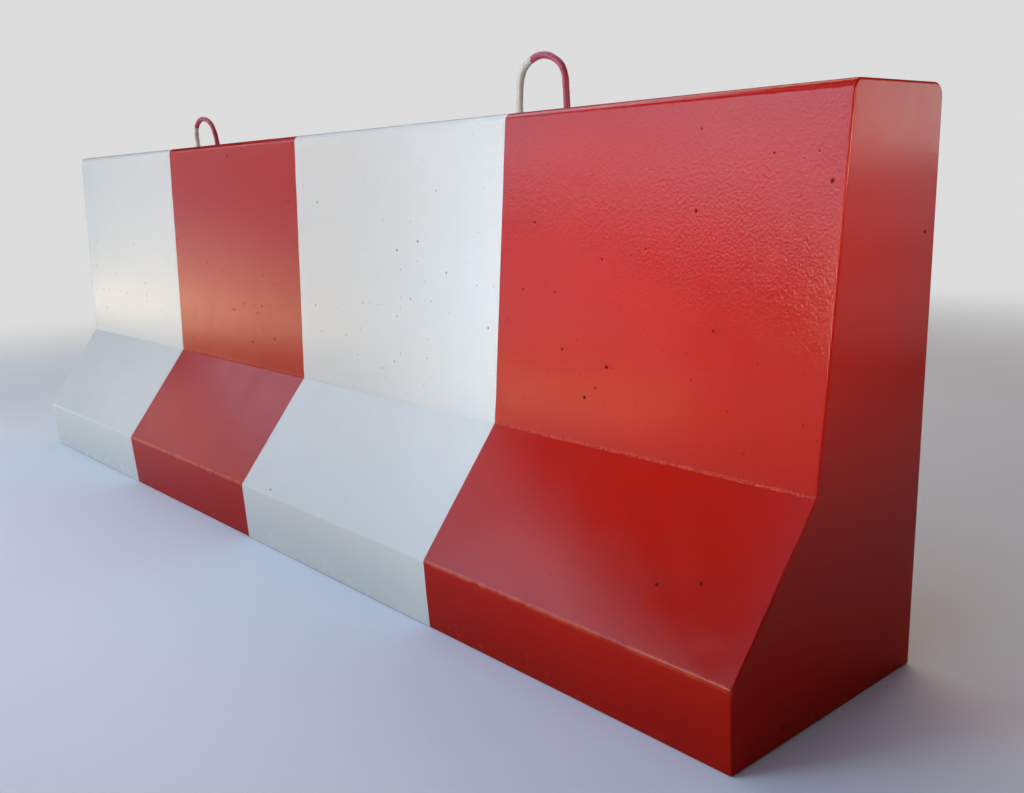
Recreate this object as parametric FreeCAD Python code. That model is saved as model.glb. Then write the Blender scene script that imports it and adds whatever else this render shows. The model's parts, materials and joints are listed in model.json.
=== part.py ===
# Single-faced precast concrete road barrier, painted in four red and white bands.
#
# Millimetres. +X runs along the block, from its white end to its red end, -Y is the traffic side
# with the toe, +Y is the flat back, and +Z is up. The origin is on the ground, in the middle of the base.
#
# The block is one casting around a welded cage: wall links and toe links, which carry straight bars
# along the block, and two bent round-bar lifting loops that hold under cross bars near their feet.
# The concrete is cut to the exact shape of everything that is cast into it.
import FreeCAD, Part
import math
import os

from FreeCAD import Rotation, Vector

# ---- casting: the profile, seen from the red end, is set by these ----
LENGTH = 2950.0
HEIGHT = 900.0
BASE_DEPTH = 460.0
TOE_HEIGHT = 135.0        # upright face at the foot of the traffic side
KNEE_HEIGHT = 360.0       # where the slope meets the steep upper face
KNEE_DEPTH = 275.0        # thickness of the block at the knee
TOP_DEPTH = 215.0

# ---- rounded arrises of the casting ----
BASE_RADIUS = 5.0
TOE_RADIUS = 8.0
KNEE_RADIUS = 6.0         # the only hollow corner
TOP_FRONT_RADIUS = 14.0
TOP_BACK_RADIUS = 20.0
END_RADIUS = 3.0          # all round both end faces

# ---- paint film, in four bands ----
COAT = 0.5
BARE_STRIP = 2.0          # the paint stops this far above the ground
# The bands are a quarter of the block each, and were masked by hand. These are the errors along X of
# the three edges between them, from left to right, at the ground, at the knee and at the top.
BAND_EDGE_ERRORS = (
    {"ground": -12.0, "knee": 4.0, "top": -2.0},
    {"ground": -30.0, "knee": -8.0, "top": -12.0},
    {"ground": 0.0, "knee": 4.0, "top": 25.0},
)
BAND_NODES = (
    "white_paint_left_end",
    "red_paint_left_middle",
    "white_paint_right_middle",
    "red_paint_right_end",
)

# ---- reinforcing cage ----
COVER = 30.0              # concrete over the links
LINK_DIAMETER = 8.0
LINK_BEND = 20.0          # radius of a link's bends, to the middle of the bar
LINK_SPACING = 240.0
BAR_DIAMETER = 10.0       # straight bars along the block
END_COVER = 30.0          # concrete beyond the ends of the straight bars
WELD_DEPTH = 0.5          # how far crossing bars are pressed into each other
TOE_LINK_RISE = 70.0      # a toe link's upper leg lies this far over the knee, inside the wall,
MIDDLE_BAR_RISE = 142.5   # and the middle bars this far
LOWER_BAR_HEIGHT = 260.0

# ---- lifting loops ----
LOOP_DIAMETER = 12.0
LOOP_AT = 735.0           # distance of each loop from the middle of the block
LOOP_HALF_SPAN = 67.0     # to the middle of a leg
LOOP_FOOT_BEND = 36.0
LOOP_FOOT = 120.0         # length of each outward foot
# The bends above the casting, as distance along the block from the loop's middle, height over the top
# face and bend radius, to the middle of the bar. The loop was bent by hand, and its crown leans.
LOOP_LEAN_START = (-LOOP_HALF_SPAN, 10.0, 120.0)
LOOP_LEFT_SHOULDER = (-LOOP_HALF_SPAN + 11.0, 85.0, 54.0)
LOOP_CROWN = (15.0, 106.0, 78.0)
LOOP_RIGHT_SHOULDER = (LOOP_HALF_SPAN, 76.5, 40.0)
LEFT_LOOP_SINK = 21.0     # the left loop was set deeper than the right one,
LEFT_LOOP_TURN = 180.0    # and the other way round
CROSSBAR_DIAMETER = 12.0
CROSSBAR_OVERHANG = 4.0   # past the middle of the straight bars, which leaves it inside the links
LEG_CLEARANCE = 10.0      # least space between a link and a leg of a loop

# ---- plastic wheel spacers on the links ----
SPACER_SKIN = 1.0         # concrete between a wheel's rim and the face
SPACER_WIDTH = 12.0
SPACER_WINDOW_RADIUS = 6.0
SPACER_WINDOWS = 4
SPACER_EVERY = 3          # a wheel on every third wall link
SPACER_DROP = 200.0       # the upper wheels sit this far below the top
SPACER_LOW = 180.0        # height of the lower wheels on the back
SPACER_BASE_SHIFT = 75.0  # how far behind the base's middle the wheels under the cage sit

# ---- worked out from the above ----
TRAFFIC_Y = -BASE_DEPTH / 2
BACK_Y = BASE_DEPTH / 2
LINK_RADIUS = LINK_DIAMETER / 2
BAR_RADIUS = BAR_DIAMETER / 2
LINK_INSET = COVER + LINK_RADIUS
TOUCH = LINK_RADIUS + BAR_RADIUS - WELD_DEPTH
LOOP_Y = BACK_Y - TOP_DEPTH / 2


def section_corners():
    """The casting's sharp corners as (y, z), anticlockwise seen from the red end, starting at the toe."""
    return [
        (TRAFFIC_Y, 0.0),
        (BACK_Y, 0.0),
        (BACK_Y, HEIGHT),
        (BACK_Y - TOP_DEPTH, HEIGHT),
        (BACK_Y - KNEE_DEPTH, KNEE_HEIGHT),
        (TRAFFIC_Y, TOE_HEIGHT),
    ]


SECTION_RADII = [BASE_RADIUS, BASE_RADIUS, TOP_BACK_RADIUS, TOP_FRONT_RADIUS, KNEE_RADIUS, TOE_RADIUS]
KNEE_CORNER = 4           # place of the hollow corner in that list


def side_line(start, end, inset):
    """The line from start to end, moved to its left by inset, as (point, direction)."""
    dy, dz = end[0] - start[0], end[1] - start[1]
    size = math.hypot(dy, dz)
    direction = (dy / size, dz / size)
    point = (start[0] - direction[1] * inset, start[1] + direction[0] * inset)
    return point, direction


def crossing(line_a, line_b):
    """Where two lines of side_line meet."""
    (ay, az), (ady, adz) = line_a
    (by, bz), (bdy, bdz) = line_b
    share = ((by - ay) * bdz - (bz - az) * bdy) / (ady * bdz - adz * bdy)
    return ay + ady * share, az + adz * share


def y_on(line, z):
    """The y of a line at height z."""
    (py, pz), (dy, dz) = line
    return py + (z - pz) * dy / dz


def inset_corners(corners, inset):
    """A closed outline's corners after each side has moved inwards by inset."""
    count = len(corners)
    lines = [side_line(corners[i], corners[(i + 1) % count], inset) for i in range(count)]
    return [crossing(lines[i - 1], lines[i]) for i in range(count)]


# The casting's faces as inward-moved lines, which place the cage.
BASE_FRONT, BASE_BACK, TOP_BACK, TOP_FRONT, KNEE, TOE_TOP = section_corners()


def base_line(inset):
    return side_line(BASE_FRONT, BASE_BACK, inset)


def back_line(inset):
    return side_line(BASE_BACK, TOP_BACK, inset)


def top_line(inset):
    return side_line(TOP_BACK, TOP_FRONT, inset)


def steep_line(inset):
    return side_line(TOP_FRONT, KNEE, inset)


def slope_line(inset):
    return side_line(KNEE, TOE_TOP, inset)


def toe_line(inset):
    return side_line(TOE_TOP, BASE_FRONT, inset)


# ---- wires and round bars ----
def tangent_pieces(points, radii, closed):
    """A path of straight runs joined by tangent arcs, as ("run", start, end) and ("arc", start, middle, end,
    centre, axis, degrees). radii holds one radius for each point; an open path's two ends have none."""
    count = len(points)
    inner = range(count) if closed else range(1, count - 1)
    arcs = {}
    for i in inner:
        before, here, after = points[i - 1], points[i], points[(i + 1) % count]
        arriving = (here - before).normalize()
        leaving = (after - here).normalize()
        turn = arriving.getAngle(leaving)
        reach = radii[i] * math.tan(turn / 2)
        start, end = here - arriving * reach, here + leaving * reach
        towards = (leaving - arriving).normalize()
        centre = here + towards * (radii[i] / math.cos(turn / 2))
        middle = centre - towards * radii[i]
        arcs[i] = ("arc", start, middle, end, centre, arriving.cross(leaving), math.degrees(turn))
    pieces = []
    for i in range(count if closed else count - 1):
        j = (i + 1) % count
        start = arcs[i][3] if i in arcs else points[i]
        end = arcs[j][1] if j in arcs else points[j]
        pieces.append(("run", start, end))
        if j in arcs:
            pieces.append(arcs[j])
    return pieces


def outline_face(corners, radii, x):
    """The face at x inside an outline of (y, z) corners with rounded corners."""
    points = [Vector(x, y, z) for y, z in corners]
    edges = []
    for piece in tangent_pieces(points, radii, closed=True):
        if piece[0] == "run":
            edges.append(Part.LineSegment(piece[1], piece[2]).toShape())
        else:
            edges.append(Part.Arc(piece[1], piece[2], piece[3]).toShape())
    return Part.Face(Part.Wire(edges))


def disc(centre, normal, radius):
    return Part.Face(Part.Wire(Part.makeCircle(radius, centre, normal)))


def bent_bar(points, bends, radius, closed=False):
    """A round bar along straight runs joined by tangent bends."""
    solids = []
    for piece in tangent_pieces(points, bends, closed):
        along = piece[2] - piece[1]
        if piece[0] == "run":
            solids.append(Part.makeCylinder(radius, along.Length, piece[1], along))
        else:
            start, centre, axis, turn = piece[1], piece[4], piece[5], piece[6]
            heading = axis.cross(start - centre)
            solids.append(disc(start, heading, radius).revolve(centre, axis, turn))
    return solids[0].multiFuse(solids[1:]).removeSplitter().Solids[0]


def straight_bar(start, end, radius):
    return Part.makeCylinder(radius, (end - start).Length, start, end - start)


# ---- casting and paint ----
def block(outset):
    """The casting's outer shape, grown outwards by outset."""
    corners = inset_corners(section_corners(), -outset)
    radii = [r - outset if i == KNEE_CORNER else r + outset for i, r in enumerate(SECTION_RADII)]
    half = LENGTH / 2 + outset
    prism = outline_face(corners, radii, -half).extrude(Vector(2 * half, 0, 0))
    rims = [
        edge
        for edge in prism.Edges
        if abs(edge.BoundBox.XLength) < 1e-6 and abs(abs(edge.BoundBox.XMin) - half) < 1e-6
    ]
    return prism.makeFillet(END_RADIUS + outset, rims)


def band_region(left, right):
    """Everything between two band edges above the bare strip. None stands for the end of the block."""
    far = LENGTH / 2 + 10 * COAT
    left = left or {"ground": -far, "knee": -far, "top": -far}
    right = right or {"ground": far, "knee": far, "top": far}
    high = HEIGHT + 10 * COAT
    behind = TRAFFIC_Y - 10 * COAT

    def at(edge, height):
        """An edge's x at a height: it runs straight from the ground to the knee and on to the top."""
        if height <= KNEE_HEIGHT:
            return edge["ground"] + (edge["knee"] - edge["ground"]) * height / KNEE_HEIGHT
        share = (height - KNEE_HEIGHT) / (HEIGHT - KNEE_HEIGHT)
        return edge["knee"] + (edge["top"] - edge["knee"]) * share

    levels = (BARE_STRIP, KNEE_HEIGHT, high)
    outline = [Vector(at(left, z), behind, z) for z in levels]
    outline += [Vector(at(right, z), behind, z) for z in reversed(levels)]
    outline.append(outline[0])
    return Part.Face(Part.makePolygon(outline)).extrude(Vector(0, BASE_DEPTH + 20 * COAT, 0))


def band_edges():
    """The X of each edge between two bands, at its three levels."""
    width = LENGTH / len(BAND_NODES)
    return [
        {level: -LENGTH / 2 + width * number + error for level, error in errors.items()}
        for number, errors in enumerate(BAND_EDGE_ERRORS, 1)
    ]


def paint_bands(casting, loops):
    film = block(COAT).cut(casting).cut(loops)
    edges = (None, *band_edges(), None)
    return {
        node: film.common(band_region(edges[i], edges[i + 1]))
        for i, node in enumerate(BAND_NODES)
    }


# ---- cage ----
def wall_link_corners():
    """Closed link around the wall, with its front leg carried straight down to the base."""
    sides = [base_line(LINK_INSET), back_line(LINK_INSET), top_line(LINK_INSET), steep_line(LINK_INSET)]
    return [crossing(sides[i - 1], sides[i]) for i in range(len(sides))]


def toe_link_corners():
    """Closed link around the toe, with its sloping leg anchored in the wall."""
    upper = ((BACK_Y, KNEE_HEIGHT + TOE_LINK_RISE), (-1.0, 0.0))
    sides = [
        base_line(LINK_INSET),
        back_line(LINK_INSET),
        upper,
        slope_line(LINK_INSET),
        toe_line(LINK_INSET),
    ]
    return [crossing(sides[i - 1], sides[i]) for i in range(len(sides))]


def link(corners):
    points = [Vector(0, y, z) for y, z in corners]
    return bent_bar(points, [LINK_BEND] * len(points), LINK_RADIUS, closed=True)


def bar_places():
    """Each straight bar's node and its (y, z): every bar is pressed against the inside of a leg."""
    inset = LINK_INSET + TOUCH
    clear_of_bend = LINK_INSET + LINK_BEND + LINK_RADIUS
    high = HEIGHT - clear_of_bend
    middle = KNEE_HEIGHT + MIDDLE_BAR_RISE
    toe_shoulder = crossing(toe_line(LINK_INSET), slope_line(LINK_INSET))[1]
    knee = crossing(steep_line(inset), slope_line(inset))
    return {
        "top_front_bar": (y_on(steep_line(inset), high), high),
        "top_back_bar": (BACK_Y - inset, high),
        "middle_front_bar": (y_on(steep_line(inset), middle), middle),
        "middle_back_bar": (BACK_Y - inset, middle),
        "knee_bar": knee,
        "lower_back_bar": (BACK_Y - inset, LOWER_BAR_HEIGHT),
        "toe_upper_bar": (TRAFFIC_Y + inset, toe_shoulder - LINK_BEND + LINK_RADIUS),
        "toe_lower_bar": (TRAFFIC_Y + inset, clear_of_bend),
        "base_back_bar": (BACK_Y - inset, clear_of_bend),
        "base_middle_bar": (wall_link_corners()[0][0] + LINK_BEND + BAR_DIAMETER, inset),
    }


def straight_bars():
    half = LENGTH / 2 - END_COVER
    return {
        node: straight_bar(Vector(-half, y, z), Vector(half, y, z), BAR_RADIUS)
        for node, (y, z) in bar_places().items()
    }


def clear_of_legs(x):
    """x, or the nearest place at which a link's top leg passes clear of the loops' legs."""
    legs = [side * LOOP_AT + leg for side in (-1, 1) for leg in (-LOOP_HALF_SPAN, LOOP_HALF_SPAN)]
    nearest = min(legs, key=lambda leg: abs(leg - x))
    least = LOOP_DIAMETER / 2 + LINK_RADIUS + LEG_CLEARANCE
    if abs(x - nearest) >= least:
        return x
    return nearest + math.copysign(least, x - nearest)


def wall_link_stations():
    """X of each wall link: evenly spaced about the middle of the block, but clear of the loops."""
    usable = LENGTH - 2 * (END_COVER + LINK_DIAMETER)
    gaps = int(usable // LINK_SPACING)
    return [clear_of_legs((i - gaps / 2) * LINK_SPACING) for i in range(gaps + 1)]


def toe_link_stations():
    """A toe link stands midway between each two wall links."""
    wall = wall_link_stations()
    return [(a + b) / 2 for a, b in zip(wall, wall[1:])]


def links(bars):
    """Every link, notched where the straight bars are welded to it."""
    straight = list(bars.values())
    wall = link(wall_link_corners()).cut(straight)
    toe = link(toe_link_corners()).cut(straight)
    nodes = {}
    for number, x in enumerate(wall_link_stations(), 1):
        nodes[f"wall_link_{number:02d}"] = wall.translated(Vector(x, 0, 0))
    for number, x in enumerate(toe_link_stations(), 1):
        nodes[f"toe_link_{number:02d}"] = toe.translated(Vector(x, 0, 0))
    return nodes


# ---- lifting loops ----
def crossbar_height():
    """The cross bars are pressed against the underside of the middle bars."""
    return KNEE_HEIGHT + MIDDLE_BAR_RISE - BAR_RADIUS - CROSSBAR_DIAMETER / 2 + WELD_DEPTH


def foot_height():
    """The loops' feet are pressed against the underside of the cross bars."""
    return crossbar_height() - CROSSBAR_DIAMETER / 2 - LOOP_DIAMETER / 2 + WELD_DEPTH


def lifting_loop(centre_x, sink, turn):
    """A bent loop with its two legs and its outward feet, turned about its own upright axis.
    sink lowers its crown, and the feet stay under the cross bars."""
    foot = foot_height()
    crown = [
        (u, HEIGHT - sink + rise, bend)
        for u, rise, bend in (LOOP_LEAN_START, LOOP_LEFT_SHOULDER, LOOP_CROWN, LOOP_RIGHT_SHOULDER)
    ]
    shape = [
        (-LOOP_HALF_SPAN - LOOP_FOOT, foot, 0.0),
        (-LOOP_HALF_SPAN, foot, LOOP_FOOT_BEND),
        *crown,
        (LOOP_HALF_SPAN, foot, LOOP_FOOT_BEND),
        (LOOP_HALF_SPAN + LOOP_FOOT, foot, 0.0),
    ]
    points = [Vector(u, 0, z) for u, z, bend in shape]
    bar = bent_bar(points, [bend for u, z, bend in shape], LOOP_DIAMETER / 2)
    bar.rotate(Vector(), Vector(0, 0, 1), turn)
    bar.translate(Vector(centre_x, LOOP_Y, 0))
    return bar


def loop_crossbars(centre_x):
    """Two short bars, one over each foot of a loop, welded under the front and back middle bars."""
    places = bar_places()
    front = places["middle_front_bar"][0] - CROSSBAR_OVERHANG
    back = places["middle_back_bar"][0] + CROSSBAR_OVERHANG
    reach = LOOP_HALF_SPAN + LOOP_FOOT_BEND + CROSSBAR_DIAMETER
    z = crossbar_height()
    return [
        straight_bar(Vector(x, front, z), Vector(x, back, z), CROSSBAR_DIAMETER / 2)
        for x in (centre_x - reach, centre_x + reach)
    ]


# ---- spacers ----
def spacer(place, along):
    """A plastic wheel around a link's leg, whose rim nearly meets the face of the casting."""
    rim = COVER + LINK_RADIUS - SPACER_SKIN
    start = place - along * (SPACER_WIDTH / 2)
    wheel = Part.makeCylinder(rim, SPACER_WIDTH, start, along)
    sideways = along.cross(Vector(1, 0, 0)).normalize()
    window_at = (rim + LINK_RADIUS) / 2
    holes = [Part.makeCylinder(LINK_RADIUS, SPACER_WIDTH, start, along)]
    for i in range(SPACER_WINDOWS):
        turn = Rotation(along, (i + 0.5) * 360 / SPACER_WINDOWS)
        centre = start + turn.multVec(sideways) * window_at
        holes.append(Part.makeCylinder(SPACER_WINDOW_RADIUS, SPACER_WIDTH, centre, along))
    return wheel.cut(holes)


def spacers():
    steep = steep_line(LINK_INSET)
    up_the_front = Vector(0, -steep[1][0], -steep[1][1])
    high = HEIGHT - SPACER_DROP
    kinds = {
        "front_spacer_wheels": [(Vector(0, y_on(steep, high), high), up_the_front)],
        "back_spacer_wheels": [
            (Vector(0, BACK_Y - LINK_INSET, z), Vector(0, 0, 1)) for z in (SPACER_LOW, high)
        ],
        "base_spacer_wheels": [(Vector(0, SPACER_BASE_SHIFT, LINK_INSET), Vector(0, 1, 0))],
    }
    stations = wall_link_stations()[::SPACER_EVERY]
    nodes = {}
    for node, places in kinds.items():
        wheels = [spacer(place, along) for place, along in places]
        nodes[node] = [wheel.translated(Vector(x, 0, 0)) for x in stations for wheel in wheels]
    return nodes


def assembly():
    bars = straight_bars()
    loops = {
        "lifting_loop_left": lifting_loop(-LOOP_AT, LEFT_LOOP_SINK, LEFT_LOOP_TURN),
        "lifting_loop_right": lifting_loop(LOOP_AT, 0.0, 0.0),
    }
    crossbars = {
        "loop_crossbars_left": loop_crossbars(-LOOP_AT),
        "loop_crossbars_right": loop_crossbars(LOOP_AT),
    }
    # Each cross bar is notched by what it is welded to, so that no two bars share any metal.
    welded = [bars["middle_front_bar"], bars["middle_back_bar"], *loops.values()]
    steel = {**bars, **links(bars), **loops}
    groups = {node: [bar.cut(welded) for bar in pair] for node, pair in crossbars.items()}
    groups.update(spacers())
    cast_in = list(steel.values()) + [solid for solids in groups.values() for solid in solids]
    outer = block(0.0)
    nodes = {"concrete_body": outer.cut(cast_in)}
    nodes.update(paint_bands(outer, list(loops.values())))
    nodes.update(steel)
    nodes.update({node: Part.makeCompound(solids) for node, solids in groups.items()})
    return nodes


os.makedirs("parts", exist_ok=True)
for name, shape in assembly().items():
    shape.exportStep(f"parts/{name}.step")
    print(f"{name}: {len(shape.Solids)} solid(s), {shape.Volume / 1000:.1f} cm3, valid {shape.isValid()}")
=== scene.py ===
"""Looks of a painted concrete road barrier block, in metres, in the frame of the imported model.

The block is rebuilt as one skin of quads that follows the casting's profile, is uneven as a cast and
rolled surface is, and has small blow holes. The skin is then cut into the four paint films, and a bare
casting is set under them. The lifting loops are swept bars with a thick, hand-brushed coat.
"""

import json
import math
import random

import bpy
import numpy as np
from mathutils import Matrix, Vector, noise


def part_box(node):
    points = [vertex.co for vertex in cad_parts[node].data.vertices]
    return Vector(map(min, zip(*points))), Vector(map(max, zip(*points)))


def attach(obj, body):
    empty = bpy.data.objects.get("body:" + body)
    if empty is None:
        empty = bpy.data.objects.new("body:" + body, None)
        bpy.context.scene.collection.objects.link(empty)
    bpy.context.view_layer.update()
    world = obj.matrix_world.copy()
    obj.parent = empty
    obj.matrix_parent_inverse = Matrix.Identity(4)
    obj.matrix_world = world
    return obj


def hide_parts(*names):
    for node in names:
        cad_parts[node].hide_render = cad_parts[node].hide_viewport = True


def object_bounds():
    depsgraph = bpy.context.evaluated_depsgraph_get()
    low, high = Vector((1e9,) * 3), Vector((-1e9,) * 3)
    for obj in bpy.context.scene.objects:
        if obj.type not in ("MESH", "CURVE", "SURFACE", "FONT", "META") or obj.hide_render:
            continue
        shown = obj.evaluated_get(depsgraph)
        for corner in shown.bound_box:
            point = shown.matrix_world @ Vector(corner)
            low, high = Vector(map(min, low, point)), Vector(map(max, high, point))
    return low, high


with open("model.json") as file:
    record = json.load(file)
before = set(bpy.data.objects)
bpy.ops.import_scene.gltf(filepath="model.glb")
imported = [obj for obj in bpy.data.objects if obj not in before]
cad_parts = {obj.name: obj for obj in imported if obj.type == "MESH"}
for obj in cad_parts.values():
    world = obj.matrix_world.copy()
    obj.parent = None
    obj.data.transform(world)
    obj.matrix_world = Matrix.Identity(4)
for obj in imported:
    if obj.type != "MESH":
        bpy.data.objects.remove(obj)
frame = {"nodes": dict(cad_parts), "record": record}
CAD_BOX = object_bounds()

# ---- the block's profile: what a node's box doesn't tell ----
TOE_HEIGHT = 0.135
KNEE_HEIGHT = 0.360
KNEE_DEPTH = 0.275
TOP_DEPTH = 0.215
BASE_RADIUS = 0.005
TOE_RADIUS = 0.008
KNEE_RADIUS = 0.006
TOP_FRONT_RADIUS = 0.014
TOP_BACK_RADIUS = 0.020
END_RADIUS = 0.003

# ---- paint ----
BANDS = ("white_paint_left_end", "red_paint_left_middle", "white_paint_right_middle", "red_paint_right_end")
BARE_STRIP = 0.002
UNDERSIDE_ROUGH = 0.0006
FILM_DEPTH = 0.003        # how far a film's hidden side lies under the surface, deeper than any blow hole
RED_LAP = 0.00015         # the red was rolled over the edges of the white
# Errors along X of the three hand-masked edges, at the ground, at the knee and at the top.
EDGE_ERRORS = ((-0.012, 0.004, -0.002), (-0.030, -0.008, -0.012), (0.000, 0.004, 0.025))
EDGE_WANDER = 0.0012
PIT_PAINTED_SHADE = 0.45          # painted shade: how bright the bottom of a blow hole is painted beside the paint round it

# ---- unevenness: height, wavelength and seed of each wave ----
BROAD_WAVE = (0.0005, 0.55, 1.3)
SHORT_WAVE = (0.00010, 0.16, 4.1)
KNEE_WAVE = (0.0004, 0.03, 2.9)
KNEE_WAVE_REACH = 0.03

# ---- studio ----
DEEP_SKY, SKY, COOL, WHITE = (0.58, 0.64, 1.0), (0.56, 0.77, 1.0), (0.86, 0.93, 1.0), (1.0, 0.98, 0.94)
ROSE, WARM, SUN, AMBER = (1.0, 0.84, 0.88), (1.0, 0.92, 0.81), (1.0, 0.86, 0.72), (1.0, 0.78, 0.52)
LIT_POINT = (0.3, -0.1)       # the panels stand round this place on the floor
# What the gloss mirrors: columns of panels, by azimuth, from the ground's glow up to the open sky. A panel
# has its lowest and highest point, its watts and its tint.
COLUMN_DISTANCE, COLUMN_WIDTH = 7.5, 2.7
COLUMNS = {
    201: (
        (-0.45, 0.15, 4.0, AMBER),
        (0.15, 0.60, 12.5, AMBER),
        (0.62, 1.05, 5.5, WHITE),
        (1.10, 1.60, 4.3, SKY),
        (1.70, 2.50, 8.0, ROSE),
        (2.60, 5.20, 46.0, SKY),
    ),
    222: (
        (-0.45, 0.15, 22.0, AMBER),
        (0.15, 0.60, 4.6, WARM),
        (0.62, 1.05, 13.5, SKY),
        (1.10, 1.60, 3.0, SKY),
        (1.70, 2.50, 40.0, SKY),
        (2.60, 5.20, 101.0, SKY),
    ),
    241: (
        (-0.45, 0.15, 8.0, AMBER),
        (0.15, 0.60, 7.0, SKY),
        (1.70, 2.50, 59.0, SKY),
        (2.60, 5.20, 210.0, SKY),
    ),
    52: (
        (-0.60, 0.20, 6.0, ROSE),
        (0.25, 0.80, 5.5, COOL),
        (0.85, 1.60, 27.0, WHITE),
        (1.70, 3.00, 22.0, AMBER),
    ),
}
# Single panels: place, the point they face, width, tallness, watts, tint, spread in degrees. A panel with
# a narrow spread has a grid, so that it reaches the paint and not the floor, or the other way round.
PANELS = (
    ((-1.4, 2.8, 5.4), (0.3, -0.1, 0.45), 5.0, 2.5, 120.0, SUN, 180),
    ((0.3, -3.0, 5.0), (0.3, -0.1, 0.45), 5.5, 4.5, 96.0, DEEP_SKY, 180),
    ((-4.2, -0.2, 5.0), (0.0, 0.0, 0.9), 3.0, 3.0, 6.0, SKY, 35),
    ((-0.6, -2.9, 3.2), (-0.6, -2.89, 0.0), 4.5, 1.2, 16.0, WHITE, 40),
    ((3.5, 0.6, 3.2), (3.5, 0.61, 0.0), 1.2, 3.0, 8.0, WARM, 40),
    ((-2.2, -5.5, 1.1), (0.3, -0.1, 0.8), 3.2, 0.3, 1.8, AMBER, 14),
    ((0.9, -6.0, 1.1), (1.1, 0.0, 0.55), 0.9, 0.3, 1.8, SKY, 12),
    ((5.5, -0.1, 1.3), (0.3, -0.1, 0.6), 0.7, 0.2, 0.88, AMBER, 14),
    ((3.9, -3.7, 1.2), (1.45, 0.0, 0.72), 0.5, 0.3, 0.15, SUN, 12),
)
BACKDROP_GREY, BACKDROP_RADIUS = 0.72, 60.0
AIR_GLOW, AIR_STRENGTH = (0.93, 0.96, 1.0, 1.0), 0.02
FLOOR_FADES = (2.4, 5.5)      # distances from the block between which the floor fades into the backdrop

# ---- camera ----
CAMERA_PLACE = (2.2467, -1.1444, 0.7942)
HEADING, PITCH, ROLL = math.radians(135.87), math.radians(-19.05), math.radians(-2.02)
SENSOR_WIDTH, LENS = 36.0, 35.23
SHIFT_X, SHIFT_Y = -0.1212, 0.1205

# ---- mesh density ----
COLUMN = 0.0125           # along the block
TOP_CELLS = 14            # across the top, the base and the end faces
TOE_ROW = 0.016
NEAR_KNEE = 0.03          # the rows are close together this far from the knee
NEAR_KNEE_ROWS, SLOPE_ROWS, STEEP_ROWS = 8, 12, 27
SMALL_ARC_CELLS, TOE_ARC_CELLS, TOP_ARC_CELLS = 4, 5, 7
CLOSEST_ROWS = 0.0003

# ---- loops ----
BAR_RADIUS = 0.006
LOOP_HALF_SPAN = 0.067
FOOT_BEND = 0.036
# Bends above the block: along it from the loop's middle, height over the top face, bend radius.
LOOP_BENDS = ((-0.067, 0.010, 0.120), (-0.056, 0.085, 0.054), (0.015, 0.106, 0.078), (0.067, 0.0765, 0.040))
PAINT_ON_BAR = 0.0006
# Each loop's node, whether it is turned round, where its red starts along the block, and its noise seed.
LOOPS = (("lifting_loop_left", True, -0.050, 3.0), ("lifting_loop_right", False, -0.024, 9.0))
LOOP_SIDES = 20
LOOP_STEP = 0.0028
# The red's edge on a loop slants, so it lies further along the higher it is over the block.
RED_SLANT, RED_SLANT_FROM = 0.175, 0.09
RED_LEAN, RED_RAGGED = 0.008, 0.004
STEEL = 2                 # a loop's third material, after its white and its red
PAINT_STARTS = 0.004      # how far under the top face a loop's coat of paint starts
SKIRT, SKIRT_RISE = 0.0055, 0.0035

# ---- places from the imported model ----
low, high = (Vector(corner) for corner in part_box("concrete_body"))
HALF_LENGTH = high.x
TRAFFIC_Y, BACK_Y, HEIGHT = low.y, high.y, high.z


def inside_box(point):
    """The point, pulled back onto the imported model's box where paint would stand out of it."""
    return Vector(min(max(value, least), most) for value, least, most in zip(point, *CAD_BOX))


def smooth_noise(point, wavelength, seed=0.0):
    """Noise from -1 to 1 that changes over about a wavelength."""
    return noise.noise(point / wavelength + Vector((seed, -seed, 0.7 * seed)))


# ================= profile =================
class Line:
    """A straight stretch of the profile, from low to high, given as (y, z)."""

    def __init__(self, start, end, facing):
        self.start, self.end, self.facing = start, end, facing
        self.low, self.high = start[1], end[1]

    def at(self, z):
        share = (z - self.low) / (self.high - self.low)
        y = self.start[0] + (self.end[0] - self.start[0]) * share
        along = np.subtract(self.end, self.start)
        along = along / np.hypot(*along)
        return y, (-along[1] * self.facing, along[0] * self.facing)

    def levels(self, step):
        count = max(1, round((self.high - self.low) / step))
        return list(np.linspace(self.low, self.high, count + 1))


class Arc:
    """A rounded corner. side is -1 where it bulges to the traffic side and 1 where it bulges back."""

    def __init__(self, centre, radius, low_z, high_z, side, hollow=False):
        self.centre, self.radius, self.low, self.high = centre, radius, low_z, high_z
        self.side, self.hollow = side, hollow

    def at(self, z):
        rise = (z - self.centre[1]) / self.radius
        reach = math.sqrt(max(0.0, 1.0 - rise * rise))
        if self.hollow:
            return self.centre[0] - self.side * self.radius * reach, (self.side * reach, -rise)
        return self.centre[0] + self.side * self.radius * reach, (self.side * reach, rise)

    def levels(self, count):
        first = math.asin(max(-1.0, (self.low - self.centre[1]) / self.radius))
        last = math.asin(min(1.0, (self.high - self.centre[1]) / self.radius))
        return [self.centre[1] + self.radius * math.sin(a) for a in np.linspace(first, last, count + 1)]


def rounded(before, corner, after, radius, side, hollow=False):
    """The arc that rounds a corner, and the two points where it leaves the straight stretches."""
    before, corner, after = (np.array(p, float) for p in (before, corner, after))
    back, on = before - corner, after - corner
    back, on = back / np.hypot(*back), on / np.hypot(*on)
    half = math.acos(float(np.clip(back @ on, -1, 1))) / 2
    reach = radius / math.tan(half)
    middle = (back + on) / np.hypot(*(back + on))
    centre = corner + middle * radius / math.sin(half)
    start, end = corner + back * reach, corner + on * reach
    return Arc(tuple(centre), radius, start[1], end[1], side, hollow), tuple(start), tuple(end)


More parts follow.
